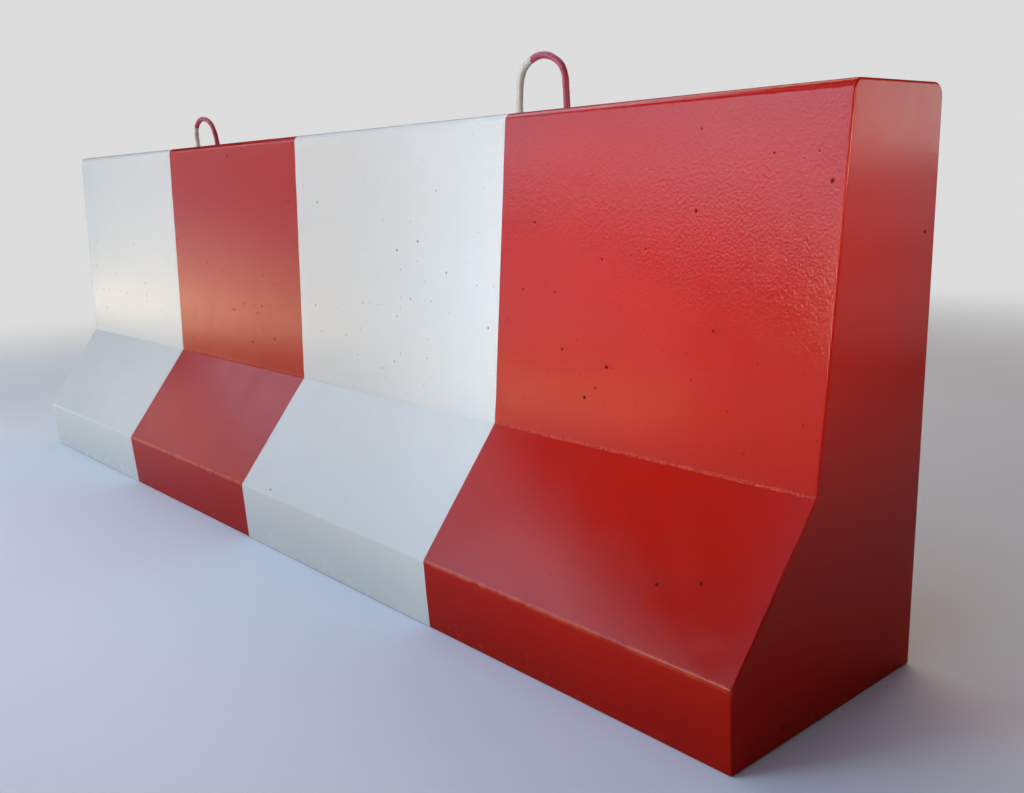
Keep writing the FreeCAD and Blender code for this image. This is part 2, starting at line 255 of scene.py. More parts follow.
def front_profile():
    toe_foot, toe_top = (TRAFFIC_Y, 0.0), (TRAFFIC_Y, TOE_HEIGHT)
    knee, top = (BACK_Y - KNEE_DEPTH, KNEE_HEIGHT), (BACK_Y - TOP_DEPTH, HEIGHT)
    base, _, toe_from = rounded((BACK_Y, 0.0), toe_foot, toe_top, BASE_RADIUS, -1)
    toe, toe_to, slope_from = rounded(toe_foot, toe_top, knee, TOE_RADIUS, -1)
    hollow, slope_to, steep_from = rounded(toe_top, knee, top, KNEE_RADIUS, -1, hollow=True)
    edge, steep_to, _ = rounded(knee, top, (BACK_Y, HEIGHT), TOP_FRONT_RADIUS, -1)
    return [
        base,
        Line(toe_from, toe_to, 1),
        toe,
        Line(slope_from, slope_to, 1),
        hollow,
        Line(steep_from, steep_to, 1),
        edge,
    ]


def back_profile():
    foot, top = (BACK_Y, 0.0), (BACK_Y, HEIGHT)
    base, _, back_from = rounded((TRAFFIC_Y, 0.0), foot, top, BASE_RADIUS, 1)
    edge, back_to, _ = rounded(foot, top, (TRAFFIC_Y, HEIGHT), TOP_BACK_RADIUS, 1)
    return [base, Line(back_from, back_to, -1), edge]


def point_on(profile, z):
    """The y and the outward normal of a profile at height z."""
    for piece in profile:
        if z <= piece.high + 1e-9:
            return piece.at(z)
    return profile[-1].at(profile[-1].high)


def levels_of(front, back):
    """Heights of the mesh's rows: close together in the rounded corners and beside the knee."""
    base, toe_face, toe, slope, knee, steep, edge = front
    levels = base.levels(SMALL_ARC_CELLS) + [BARE_STRIP]
    levels += toe_face.levels(TOE_ROW) + toe.levels(TOE_ARC_CELLS)
    levels += list(np.linspace(slope.low, slope.high - NEAR_KNEE, SLOPE_ROWS))
    levels += list(np.linspace(slope.high - NEAR_KNEE, slope.high, NEAR_KNEE_ROWS))
    levels += knee.levels(SMALL_ARC_CELLS)
    levels += list(np.linspace(steep.low, steep.low + NEAR_KNEE, NEAR_KNEE_ROWS))
    levels += list(np.linspace(steep.low + NEAR_KNEE, back[-1].low, STEEP_ROWS))
    levels += edge.levels(TOP_ARC_CELLS) + back[-1].levels(TOP_ARC_CELLS)
    rows = []
    for z in sorted(levels):
        if not rows or z - rows[-1] > CLOSEST_ROWS:
            rows.append(z)
    rows[-1] = HEIGHT
    return rows


def ring_of_samples():
    """The rows, and the outline as samples (y, z, normal y, normal z): front, top, back, base."""
    front, back = front_profile(), back_profile()
    rows = levels_of(front, back)
    up = [(y, z, *n) for z in rows for y, n in [point_on(front, z)]]
    down = [(y, z, *n) for z in rows for y, n in [point_on(back, z)]]
    shares = [i / TOP_CELLS for i in range(1, TOP_CELLS)]
    over = [(up[-1][0] + (down[-1][0] - up[-1][0]) * s, HEIGHT, 0.0, 1.0) for s in shares]
    under = [(up[0][0] + (down[0][0] - up[0][0]) * s, 0.0, 0.0, -1.0) for s in shares]
    return rows, np.array(up + over + down[::-1] + under[::-1])


ROWS, RING = ring_of_samples()
COUNT = len(RING)


# ================= skin =================
def edge_x(number, z):
    """Where a hand-masked band edge runs at height z. Edges 0 and 4 are the ends of the straight part."""
    if number in (0, len(BANDS)):
        return (HALF_LENGTH - END_RADIUS) * (-1 if number == 0 else 1)
    ground, knee, top = EDGE_ERRORS[number - 1]
    error = np.interp(z, (0.0, KNEE_HEIGHT, HEIGHT), (ground, knee, top))
    wander = EDGE_WANDER * smooth_noise(Vector((0, 0, z)), 0.05, seed=11.0 * number)
    return HALF_LENGTH * (2 * number / len(BANDS) - 1) + error + wander


def wave(point, height, wavelength, seed):
    return height * smooth_noise(point, wavelength, seed)


def unevenness(point):
    """How far the cast and painted surface lies off its true place."""
    off = wave(point, *BROAD_WAVE) + wave(point, *SHORT_WAVE)
    from_knee = math.hypot(point.y - (BACK_Y - KNEE_DEPTH), point.z - KNEE_HEIGHT)
    if from_knee < KNEE_WAVE_REACH:
        off += (1.0 - from_knee / KNEE_WAVE_REACH) * wave(point, *KNEE_WAVE)
    return off


def place(x, sample, depth=0.0):
    y, z, ny, nz = sample
    return Vector((x, y - ny * depth, z - nz * depth))


class Skin:
    """The block's whole surface as quads, with each quad's band, or None under the block."""

    def __init__(self):
        self.points, self.normals, self.faces, self.bands = [], [], [], []
        columns = self.columns()
        strip = [[self.add(place(x[i], RING[i]), RING[i][2:]) for i in range(COUNT)] for x, _ in columns]
        for (_, band), left, right in zip(columns, strip, strip[1:]):
            self.wall(left, right, band)
        self.end(strip[0], -1, 0)
        self.end(strip[-1], 1, len(BANDS) - 1)

    def columns(self):
        """The x of each column at every sample of the ring, and the band to its right."""
        columns = []
        for band in range(len(BANDS)):
            left = np.array([edge_x(band, z) for z in RING[:, 1]])
            right = np.array([edge_x(band + 1, z) for z in RING[:, 1]])
            cells = round(float(np.mean(right - left)) / COLUMN)
            columns += [(left + (right - left) * i / cells, band) for i in range(cells)]
        columns.append((right, len(BANDS) - 1))
        return columns

    def add(self, point, normal_yz, normal_x=0.0):
        self.points.append(point)
        self.normals.append(Vector((normal_x, *normal_yz)).normalized())
        return len(self.points) - 1

    def wall(self, left, right, band):
        """Quads between two rings, outside to the outside."""
        for i in range(COUNT):
            j = (i + 1) % COUNT
            bare = max(RING[i][1], RING[j][1]) <= BARE_STRIP + 1e-6
            self.faces.append((left[i], right[i], right[j], left[j]))
            self.bands.append(None if bare else band)

    def end(self, ring, side, band):
        """The rounded arris and the flat face of one end."""
        rings = [ring]
        for angle in np.radians((22.5, 45.0, 67.5, 90.0)):
            outward, turn = math.sin(angle), math.cos(angle)
            x = side * (HALF_LENGTH - END_RADIUS + END_RADIUS * outward)
            sunk = END_RADIUS * (1 - turn)
            rings.append([self.add(place(x, s, sunk), s[2:] * turn, side * outward) for s in RING])
        for inner, outer in zip(rings, rings[1:]):
            self.wall(*((inner, outer) if side > 0 else (outer, inner)), band)
        self.face(rings[-1], side, band)

    def face(self, rim, side, band):
        """The flat end, in rows from the front of the rim to its back."""
        rows = len(ROWS)
        back_start = rows + TOP_CELLS - 1
        grid = []
        for k in range(rows):
            front, back = rim[k], rim[back_start + rows - 1 - k]
            if k == rows - 1:
                inner = [rim[rows + j] for j in range(TOP_CELLS - 1)]
            elif k == 0:
                inner = [rim[-1 - j] for j in range(TOP_CELLS - 1)]
            else:
                a, b = self.points[front], self.points[back]
                shares = [j / TOP_CELLS for j in range(1, TOP_CELLS)]
                inner = [self.add(a.lerp(b, share), (0.0, 0.0), side) for share in shares]
            grid.append([front, *inner, back])
        for lower, upper in zip(grid, grid[1:]):
            bare = self.points[upper[0]].z <= BARE_STRIP + 1e-6
            for j in range(TOP_CELLS):
                quad = (lower[j], lower[j + 1], upper[j + 1], upper[j])
                self.faces.append(quad if side > 0 else quad[::-1])
                self.bands.append(None if bare else band)


# ================= blow holes =================
class BlowHoles:
    """Chooses quads that hold a blow hole, and makes the hole."""

    SIDES = 10
    # Share of the radius and share of the depth of each ring, from the quad inward.
    RINGS = ((1.35, 0.00), (1.12, 0.01), (0.92, 0.45), (0.55, 0.95))
    MIDDLE_DEPTH = 1.08
    # Holes to the square metre: on most faces, on the slope and the top, on the steep face, and how many
    # more gather there about a height, within a spread.
    PLAIN, UPWARD, STEEP = 15.0, 10.0, 60.0
    GATHERED, GATHERED_HEIGHT, GATHERED_SPREAD = 230.0, 0.52, 0.15
    LEAST_RADIUS, MORE_RADIUS, RARITY = 0.0014, 0.0021, 4
    SMALLEST = 0.0006

    def __init__(self, seed):
        self.random = random.Random(seed)

    def wanted(self, centre, normal, area):
        """Holes gather in the lower half of the steep face, where trapped air can't rise out of the mould."""
        per_square_metre = self.PLAIN
        if normal.y < -0.9 and centre.z > KNEE_HEIGHT:
            spread = (centre.z - self.GATHERED_HEIGHT) / self.GATHERED_SPREAD
            per_square_metre = self.GATHERED * math.exp(-(spread**2)) + self.STEEP
        elif normal.z > 0.5:
            per_square_metre = self.UPWARD
        return self.random.random() < per_square_metre * area

    def stamp(self, corners, normal):
        """The points of a small hole in a quad and the quad's own directions, or None if it doesn't fit."""
        pick = self.random
        centre = sum(corners, Vector()) / 4
        across = (corners[1] - corners[0]).normalized()
        up = normal.cross(across)
        room = min(abs((corners[2] - corners[1]).dot(up)), (corners[1] - corners[0]).length) / 2
        radius = min(self.LEAST_RADIUS + self.MORE_RADIUS * pick.random() ** self.RARITY, room / 1.5)
        if radius < self.SMALLEST:
            return None
        deep, flat, turn = radius * pick.uniform(0.5, 0.8), pick.uniform(0.65, 1.0), pick.uniform(0, math.pi)
        points = []
        for share, sink in self.RINGS:
            for i in range(self.SIDES):
                a = 2 * math.pi * i / self.SIDES
                u, v = radius * share * math.cos(a), radius * share * flat * math.sin(a)
                u, v = u * math.cos(turn) - v * math.sin(turn), u * math.sin(turn) + v * math.cos(turn)
                points.append((centre + across * u + up * v - normal * deep * sink, sink))
        points.append((centre - normal * deep * self.MIDDLE_DEPTH, 1.0))
        return points, across, up, centre

    def faces(self, corner_ids, corners, first, across, up, centre):
        """Joins the quad's corners to the outer ring, each ring to the next, and the last to the middle."""
        sides, made = self.SIDES, []

        def angle(point):
            return math.atan2((point - centre).dot(up), (point - centre).dot(across)) % (2 * math.pi)

        ring = sorted(((angle(self.outer[i]), first + i) for i in range(sides)))
        rim = sorted((angle(c), n) for n, c in zip(corner_ids, corners))
        i = j = 0
        while i < sides or j < 4:
            next_ring = ring[(i + 1) % sides][0] + (2 * math.pi if i + 1 >= sides else 0)
            next_rim = rim[(j + 1) % 4][0] + (2 * math.pi if j + 1 >= 4 else 0)
            a, b = ring[i % sides][1], rim[j % 4][1]
            if i < sides and (j >= 4 or next_ring <= next_rim):
                made.append((a, b, ring[(i + 1) % sides][1]))
                i += 1
            else:
                made.append((a, b, rim[(j + 1) % 4][1]))
                j += 1
        for k in range(len(self.RINGS) - 1):
            here, inner = first + k * sides, first + (k + 1) * sides
            for i in range(sides):
                n = (i + 1) % sides
                made.append((here + i, here + n, inner + n, inner + i))
        last, middle = first + (len(self.RINGS) - 1) * sides, first + len(self.RINGS) * sides
        made += [(last + i, last + (i + 1) % sides, middle) for i in range(sides)]
        return made

    def sink(self, mesh_points, pit_shade_depths, corner_ids, normal):
        """Adds a hole's points to the mesh and gives back its faces, or None if it doesn't fit."""
        corners = [mesh_points[n] for n in corner_ids]
        stamped = self.stamp(corners, normal)
        if stamped is None:
            return None
        points, across, up, centre = stamped
        self.outer = [point for point, _ in points[: self.SIDES]]
        first = len(mesh_points)
        mesh_points += [point for point, _ in points]
        # Each point's share of the hole's depth also sets how much painted shade it gets.
        pit_shade_depths += [sink for _, sink in points]
        return self.faces(corner_ids, corners, first, across, up, centre)


# ================= pieces of the block =================
def new_object(name, points, faces, material, smooth=True):
    mesh = bpy.data.meshes.new(name)
    mesh.from_pydata([tuple(p) for p in points], [], faces)
    mesh.validate()
    mesh.materials.append(material)
    mesh.polygons.foreach_set("use_smooth", [smooth] * len(mesh.polygons))
    obj = bpy.data.objects.new(name, mesh)
    bpy.context.scene.collection.objects.link(obj)
    return obj


def rim_of(faces):
    """Directed edges of a patch that only one of its faces has."""
    edges = {(f[i], f[(i + 1) % len(f)]) for f in faces for i in range(len(f))}
    return [(a, b) for a, b in edges if (b, a) not in edges]


def paint_film(skin, band, material):
    """One band's film: an uneven outside with blow holes, a plain hidden side, and a wall round its rim."""
    holes = BlowHoles(seed=100 + band)
    patch = [face for face, owner in zip(skin.faces, skin.bands) if owner == band]
    used = sorted({n for face in patch for n in face})
    index = {n: i for i, n in enumerate(used)}
    lap = RED_LAP if BANDS[band].startswith("red") else 0.0
    outer, hidden = [], []
    for n in used:
        point, normal = skin.points[n], skin.normals[n]
        outer.append(inside_box(point + normal * (unevenness(point) + lap)))
        hidden.append(point - normal * FILM_DEPTH)
    patch = [tuple(index[n] for n in face) for face in patch]
    points, pit_shade_depths, faces = list(outer), [0.0] * len(outer), []
    for face in patch:
        a, b, c, d = (outer[n] for n in face)
        cross = (c - a).cross(d - b)
        normal, area = cross.normalized(), cross.length / 2
        made = None
        if holes.wanted((a + c) / 2, normal, area):
            made = holes.sink(points, pit_shade_depths, face, normal)
        faces += made or [face]
    first_hidden = len(points)
    points += hidden
    pit_shade_depths += [0.0] * len(hidden)
    faces += [tuple(first_hidden + n for n in reversed(face)) for face in patch]
    faces += [(b, a, first_hidden + a, first_hidden + b) for a, b in rim_of(patch)]
    film = new_object("film_" + BANDS[band], points, faces, material)
    # This attribute carries the painted shade at the bottoms of the blow holes.
    film.data.attributes.new("pit_painted_shade", "FLOAT", "POINT").data.foreach_set("value", pit_shade_depths)
    sharpen_rim(film, math.radians(60))
    return film


def sharpen_rim(obj, angle):
    """Keeps smooth shading from running round square edges, and lets large faces rule small ones."""
    obj.data.set_sharp_from_angle(angle=angle)
    weighted = obj.modifiers.new("weighted_normals", "WEIGHTED_NORMAL")
    weighted.keep_sharp = True
    weighted.weight = 50


def bare_casting(skin, material):
    """The casting inside the films. Its underside shows bare, and the rest lies under the paint."""
    low_side = {n for face, owner in zip(skin.faces, skin.bands) if owner is None for n in face}
    points = []
    for n, (point, normal) in enumerate(zip(skin.points, skin.normals)):
        if n in low_side:
            rough = UNDERSIDE_ROUGH * (1 + smooth_noise(point, 0.02, 3.3)) * (1 - point.z / BARE_STRIP)
            points.append(point + Vector((0, 0, max(0.0, rough))) if point.z < BARE_STRIP else point)
        else:
            points.append(point - normal * FILM_DEPTH)
    casting = new_object("bare_casting", points, list(skin.faces), material)
    sharpen_rim(casting, math.radians(50))
    return casting


# ================= loops =================
def rounded_path(corners, step):
    """Points along straight runs joined by tangent arcs. corners holds (u, z, bend radius)."""
    path = [Vector((corners[0][0], 0, corners[0][1]))]
    for before, here, after in zip(corners, corners[1:], corners[2:]):
        b, h, a = (Vector((c[0], 0, c[1])) for c in (before, here, after))
        back, on = (b - h).normalized(), (a - h).normalized()
        half = back.angle(on) / 2
        centre = h + (back + on).normalized() * here[2] / math.sin(half)
        start, end = h + back * here[2] / math.tan(half), h + on * here[2] / math.tan(half)
        first, turn = start - centre, (start - centre).rotation_difference(end - centre)
        steps = max(2, round(turn.angle * here[2] / step))
        straight = start - path[-1]
        runs = max(1, round(straight.length / step))
        path += [path[-1] + straight * i / runs for i in range(1, runs)]
        for i in range(steps + 1):
            part = Matrix.Rotation(turn.angle * i / steps, 3, turn.axis)
            path.append(centre + part @ first)
    last = Vector((corners[-1][0], 0, corners[-1][1]))
    straight = last - path[-1]
    runs = max(1, round(straight.length / step))
    path += [path[-1] + straight * i / runs for i in range(1, runs + 1)]
    return path


def coat_thickness(point, over, seed):
    """Paint on a loop's bar: brushed unevenly, and drawn out into a skirt where a leg meets the block."""
    if over < 0:
        return 0.0
    uneven = 1.0 + 0.9 * smooth_noise(point, 0.012, seed) + 0.5 * smooth_noise(point, 0.004, seed)
    return PAINT_ON_BAR * uneven + SKIRT * math.exp(-over / SKIRT_RISE)


def bar_path(node, turned):
    """The middle line of a loop's bar from foot to foot, round its own middle, and where that middle lies."""
    lowest, highest = (Vector(c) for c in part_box(node))
    foot = lowest.z + BAR_RADIUS
    half_foot = (highest.x - lowest.x) / 2
    # The crown is the highest point of the bar's middle line over the face that the bends are measured from.
    over_face = [(-LOOP_HALF_SPAN, 0, 0), *LOOP_BENDS, (LOOP_HALF_SPAN, 0, 0)]
    crown = max(p.z for p in rounded_path(over_face, 0.002))
    face = highest.z - BAR_RADIUS - crown
    corners = [(-half_foot, foot, 0.0), (-LOOP_HALF_SPAN, foot, FOOT_BEND)]
    corners += [(u, face + rise, bend) for u, rise, bend in LOOP_BENDS]
    corners += [(LOOP_HALF_SPAN, foot, FOOT_BEND), (half_foot, foot, 0.0)]
    path = rounded_path(corners, LOOP_STEP)
    if turned:
        path = [Vector((-p.x, 0, p.z)) for p in reversed(path)]
    return path, Vector(((lowest.x + highest.x) / 2, (lowest.y + highest.y) / 2, 0))


def lifting_loop(node, turned, red_from, seed, materials):
    """A bent bar from foot to foot. red_from is where the red starts, measured along the block."""
    path, middle = bar_path(node, turned)
    points, kinds = [], []
    side = Vector((0, 1, 0))
    for i, p in enumerate(path):
        along = (path[min(i + 1, len(path) - 1)] - path[max(i - 1, 0)]).normalized()
        out = side.cross(along)
        for k in range(LOOP_SIDES):
            a = 2 * math.pi * k / LOOP_SIDES
            direction = out * math.cos(a) + side * math.sin(a)
            bare = middle + p + direction * BAR_RADIUS
            radius = BAR_RADIUS - PAINT_ON_BAR + coat_thickness(bare, p.z - HEIGHT, seed)
            point = inside_box(middle + p + direction * radius)
            slant = RED_SLANT * (p.z + direction.z * RED_LEAN - HEIGHT - RED_SLANT_FROM)
            ragged = RED_RAGGED * smooth_noise(point, 0.007, seed)
            points.append(point)
            if p.z < HEIGHT - PAINT_STARTS:
                kinds.append(STEEL)
            else:
                kinds.append(int(p.x - slant + ragged > red_from))
    faces = []
    for i in range(len(path) - 1):
        here, following = i * LOOP_SIDES, (i + 1) * LOOP_SIDES
        for k in range(LOOP_SIDES):
            n = (k + 1) % LOOP_SIDES
            faces.append((here + k, here + n, following + n, following + k))
    kinds = kinds[: len(faces)] + [STEEL, STEEL]
    faces += [tuple(range(LOOP_SIDES))[::-1], tuple(len(points) - LOOP_SIDES + k for k in range(LOOP_SIDES))]
    loop = new_object("painted_" + node, points, faces, materials[0])
    for material in materials[1:]:
        loop.data.materials.append(material)
    loop.data.polygons.foreach_set("material_index", kinds)
    return loop


# ================= materials =================
class Nodes:
    """A short way to write a material's nodes."""

    def __init__(self, name):
        self.material = bpy.data.materials.new(name)
        self.material.use_nodes = True
        self.tree = self.material.node_tree
        self.shader = self.tree.nodes["Principled BSDF"]
        self.position = self.add("ShaderNodeTexCoord").outputs["Object"]

    def add(self, kind, inputs=None, **settings):
        node = self.tree.nodes.new(kind)
        for name, value in settings.items():
            setattr(node, name, value)
        for name, value in (inputs or {}).items():
            self.link(value, node.inputs[name])
        return node

    def link(self, value, socket):
        if isinstance(value, bpy.types.NodeSocket):
            self.tree.links.new(value, socket)
        else:
            socket.default_value = value

    def set(self, **sockets):
        for name, value in sockets.items():
            self.link(value, self.shader.inputs[name.replace("_", " ")])

    def noise(self, scale, detail=2.0, roughness=0.5, stretch=None):
        """Noise from about 0.3 to 0.7. scale is in features per metre."""
        vector = self.position
        if stretch:
            vector = self.add("ShaderNodeMapping", {"Vector": vector, "Scale": stretch}).outputs["Vector"]
        inputs = {"Vector": vector, "Scale": scale, "Detail": detail, "Roughness": roughness}
        return self.add("ShaderNodeTexNoise", inputs).outputs["Fac"]

    def span(self, value, from_low, from_high, to_low=0.0, to_high=1.0):
        """The value carried smoothly from one range to another, and held at its ends."""
        inputs = {"Value": value, "From Min": from_low, "From Max": from_high}
        inputs |= {"To Min": to_low, "To Max": to_high}
        return self.add("ShaderNodeMapRange", inputs, interpolation_type="SMOOTHSTEP").outputs["Result"]

    def maths(self, operation, a, b):
        node = self.add("ShaderNodeMath", operation=operation)
        self.link(a, node.inputs[0])
        self.link(b, node.inputs[1])
        return node.outputs[0]

    def mix(self, factor, a, b):
        node = self.add("ShaderNodeMix", data_type="RGBA")
        self.link(factor, node.inputs["Factor"])
        self.link(a, node.inputs["A"])
        self.link(b, node.inputs["B"])
        return node.outputs["Result"]

    def bump(self, height, distance, strength, after=None):
        inputs = {"Height": height, "Distance": distance, "Strength": strength}
        if after is not None:
            inputs["Normal"] = after
        return self.add("ShaderNodeBump", inputs).outputs["Normal"]


def away_from_line(n, y, z):
    """Distance from a line that runs the length of the block."""
    line = n.add("ShaderNodeCombineXYZ", {"Y": y, "Z": z}).outputs["Vector"]
    across = n.add("ShaderNodeVectorMath", {0: n.position, 1: (0, 1, 1)}, operation="MULTIPLY")
    inputs = {0: across.outputs["Vector"], 1: line}
    return n.add("ShaderNodeVectorMath", inputs, operation="DISTANCE").outputs["Value"]


def knee_bead_and_highlight(n):
    """Height of the crumbly bead of paint that gathers along the knee. The same mask also paints a lighter
    highlight line along the knee.
    """
    away = away_from_line(n, BACK_Y - KNEE_DEPTH, KNEE_HEIGHT)
    bead_and_highlight = n.span(away, 0.0008, 0.0038, 1.0, 0.0)
    return n.maths("MULTIPLY", bead_and_highlight, n.span(n.noise(230.0, 2.0, 0.6), 0.44, 0.56))


def dust_and_ground_shade(n, height, facing):
    """How much the paint is darkened: painted shade towards the ground, with splashed dust, and dust settled
    on what faces up.
    """
    patchy = n.span(n.noise(5.0, 2.0, 0.5), 0.2, 0.6, 0.6, 1.0)
    # Painted shade: the paint darkens towards the ground, over the lowest 16 cm.
    ground_shade = n.maths("MULTIPLY", n.span(height, 0.0, 0.16, 0.35, 0.0), patchy)
    upward = n.span(facing, 0.3, 0.95, 0.0, 0.12)
    settled = n.maths("MULTIPLY", upward, n.span(n.noise(9.0, 6.0, 0.7), 0.42, 0.72))
    return n.maths("ADD", ground_shade, settled)


def enamel_shade(n, colours, dust_and_shade, bead_and_highlight):
    """Colour of the enamel, with painted shade near the ground and in the blow holes, and painted highlight
    lines along the knee and the toe's arris. colours holds colour, deep, the colour of dust and painted
    shade, and the painted highlights' colour.
    """
    colour, deep, dust_and_shade_colour, painted_highlight = colours
    cloud = n.span(n.noise(1.7, 4.0, 0.55), 0.35, 0.65)
    streaks = n.span(n.noise(14.0, 3.0, 0.6, stretch=(1.0, 1.0, 0.12)), 0.4, 0.7)
    shade = n.mix(n.maths("MULTIPLY", cloud, 0.35), colour, deep)
    shade = n.mix(n.maths("MULTIPLY", streaks, 0.12), shade, deep)
    # Painted shade near the ground, and dust on what faces up.
    shade = n.mix(dust_and_shade, shade, dust_and_shade_colour)
    # Painted highlight: a lighter line along the knee, where the bead lies.
    shade = n.mix(n.maths("MULTIPLY", bead_and_highlight, 0.5), shade, painted_highlight)
    # Painted highlight: a lighter, broken line along the toe's arris.
    toe_arris_highlight = n.span(away_from_line(n, TRAFFIC_Y, TOE_HEIGHT), 0.002, 0.007, 0.6, 0.0)
    highlight_breaks = n.span(n.noise(40.0, 3.0, 0.6), 0.3, 0.6)
    shade = n.mix(n.maths("MULTIPLY", toe_arris_highlight, highlight_breaks), shade, painted_highlight)
    # Painted shade: the paint is darker towards the bottom of each blow hole.
    pit_painted_shade = n.add("ShaderNodeAttribute", attribute_name="pit_painted_shade").outputs["Fac"]
    return n.mix(pit_painted_shade, shade, tuple(PIT_PAINTED_SHADE * c for c in deep[:3]) + (1.0,))


def enamel_relief(n, height, endways, bead_and_highlight):
    """Stipple of the roller. It is weak on the ends and just over the knee, where the casting is smoother."""
    rolled = n.maths("MULTIPLY", n.span(height, 0.46, 0.62, 0.25, 0.9), n.span(endways, 0.5, 0.95, 1.0, 0.2))
    orange_peel = n.noise(95.0, 2.0, 0.5)
    stipple = n.noise(235.0, 1.5, 0.5)
    normal = n.bump(orange_peel, 0.0010, n.maths("MULTIPLY", rolled, 0.12))
    normal = n.bump(stipple, 0.0005, rolled, after=normal)
    return n.bump(bead_and_highlight, 0.0008, 0.7, after=normal)


def enamel(name, colours, roughness, specular):
    """Gloss enamel put on with a roller: stippled, uneven in shade, dusty on the slope, darker low down with
    painted shade and dust, with painted highlight lines along the knee and the toe's arris and painted shade
    in its blow holes.
    """
    n = Nodes(name)
    height = n.add("ShaderNodeSeparateXYZ", {"Vector": n.position}).outputs["Z"]
    normal = n.add("ShaderNodeNewGeometry").outputs["Normal"]
    directions = n.add("ShaderNodeSeparateXYZ", {"Vector": normal}).outputs
    facing, endways = directions["Z"], n.maths("ABSOLUTE", directions["X"], 0.0)
    dust_and_shade, bead_and_highlight = dust_and_ground_shade(n, height, facing), knee_bead_and_highlight(n)
    dull = n.span(n.noise(22.0, 5.0, 0.65), 0.3, 0.75, roughness, roughness + 0.08)
    dull = n.maths("ADD", dull, n.maths("MULTIPLY", dust_and_shade, 0.3))
    dull = n.maths("ADD", dull, n.maths("MULTIPLY", bead_and_highlight, 0.5))
    # Upright faces lose their gloss towards the ground.
    scuffed = n.maths("MULTIPLY", n.span(height, 0.05, 0.45, 0.7, 0.0), n.span(facing, 0.2, 0.4, 1.0, 0.0))
    gloss = n.span(n.maths("MAXIMUM", bead_and_highlight, scuffed), 0.0, 1.0, specular, 0.0)
    shade = enamel_shade(n, colours, dust_and_shade, bead_and_highlight)
    n.set(Base_Color=shade, Roughness=dull, Normal=enamel_relief(n, height, endways, bead_and_highlight))
    n.set(IOR=1.5, Specular_IOR_Level=gloss)
    return n.material


def white_enamel():
    white, deep, dust_and_shade_colour = (0.69, 0.635, 0.55, 1), (0.645, 0.595, 0.515, 1), (0.40, 0.40, 0.38, 1)
    return enamel("white_enamel", (white, deep, dust_and_shade_colour, white), roughness=0.13, specular=0.12)


def red_enamel():
    # The dust colour is a darker red: it paints the shade near the ground as well as the dust on the slope.
    red, deep, dust_and_shade_colour = (0.43, 0.0100, 0.0036, 1), (0.37, 0.0075, 0.0030, 1), (0.17, 0.006, 0.003, 1)
    # A lighter orange, painted as highlight lines along the knee and along the toe's arris.
    painted_highlight_red = (0.56, 0.075, 0.022, 1)
    return enamel("red_enamel", (red, deep, dust_and_shade_colour, painted_highlight_red), roughness=0.12, specular=0.16)


def chalky_red_enamel():
    """The loops' red, gone chalky in the weather."""
    red, deep, dust_and_shade_colour = (0.42, 0.060, 0.085, 1), (0.36, 0.045, 0.065, 1), (0.17, 0.006, 0.003, 1)
    return enamel("chalky_red_enamel", (red, deep, dust_and_shade_colour, red), roughness=0.35, specular=0.25)


def concrete():
    """Bare cast concrete: cement grey with fine sand, darker damp clouds and tiny voids."""
    n = Nodes("bare_concrete")
    clouds = n.span(n.noise(6.0, 6.0, 0.6), 0.3, 0.7)
    shade = n.mix(clouds, (0.30, 0.29, 0.27, 1), (0.46, 0.45, 0.42, 1))
    sand = n.span(n.noise(900.0, 2.0, 0.7), 0.4, 0.65)
    shade = n.mix(n.maths("MULTIPLY", sand, 0.4), shade, (0.22, 0.21, 0.19, 1))
    normal = n.bump(n.noise(260.0, 6.0, 0.7), 0.001, 0.6)
    n.set(Base_Color=shade, Roughness=0.92, Normal=normal)
    return n.material


def cage_steel():
    """Mill scale with rust breaking through it."""
    n = Nodes("cage_steel")
    rust = n.span(n.noise(45.0, 8.0, 0.7), 0.48, 0.6)
    shade = n.mix(rust, (0.09, 0.08, 0.08, 1), (0.24, 0.09, 0.035, 1))
    n.set(Base_Color=shade, Metallic=n.span(rust, 0.0, 1.0, 0.85, 0.1))
    n.set(Roughness=n.span(rust, 0.0, 1.0, 0.45, 0.85))
    n.set(Normal=n.bump(n.noise(500.0, 4.0, 0.6), 0.0004, 0.5))
    return n.material


def spacer_plastic():
    n = Nodes("spacer_plastic")
    shade = n.mix(n.span(n.noise(60.0, 3.0), 0.4, 0.7), (0.035, 0.036, 0.038, 1), (0.055, 0.055, 0.056, 1))
    n.set(Base_Color=shade, Roughness=n.span(n.noise(120.0), 0.3, 0.7, 0.45, 0.6))
    n.set(Normal=n.bump(n.noise(700.0), 0.0002, 0.4))
    return n.material


def floor_material():
    """Pale matt floor that fades into the backdrop, so that no horizon shows."""
    n = Nodes("studio_floor")
    shade = n.mix(n.span(n.noise(0.8, 3.0), 0.3, 0.7), (0.80, 0.80, 0.79, 1), (0.83, 0.83, 0.825, 1))
    n.set(Base_Color=shade, Roughness=0.9)
    n.set(Specular_IOR_Level=0.1)
    distance = n.add("ShaderNodeVectorMath", {"Vector": n.position}, operation="LENGTH").outputs["Value"]
    n.set(Alpha=n.span(distance, *FLOOR_FADES, 1.0, 0.0))
    return n.material


def backdrop_material():
    n = Nodes("studio_backdrop")
    n.set(Base_Color=(0, 0, 0, 1), Emission_Color=(BACKDROP_GREY,) * 3 + (1,), Emission_Strength=1.0)
    n.set(Roughness=1.0, Specular_IOR_Level=0.0)
    return n.material


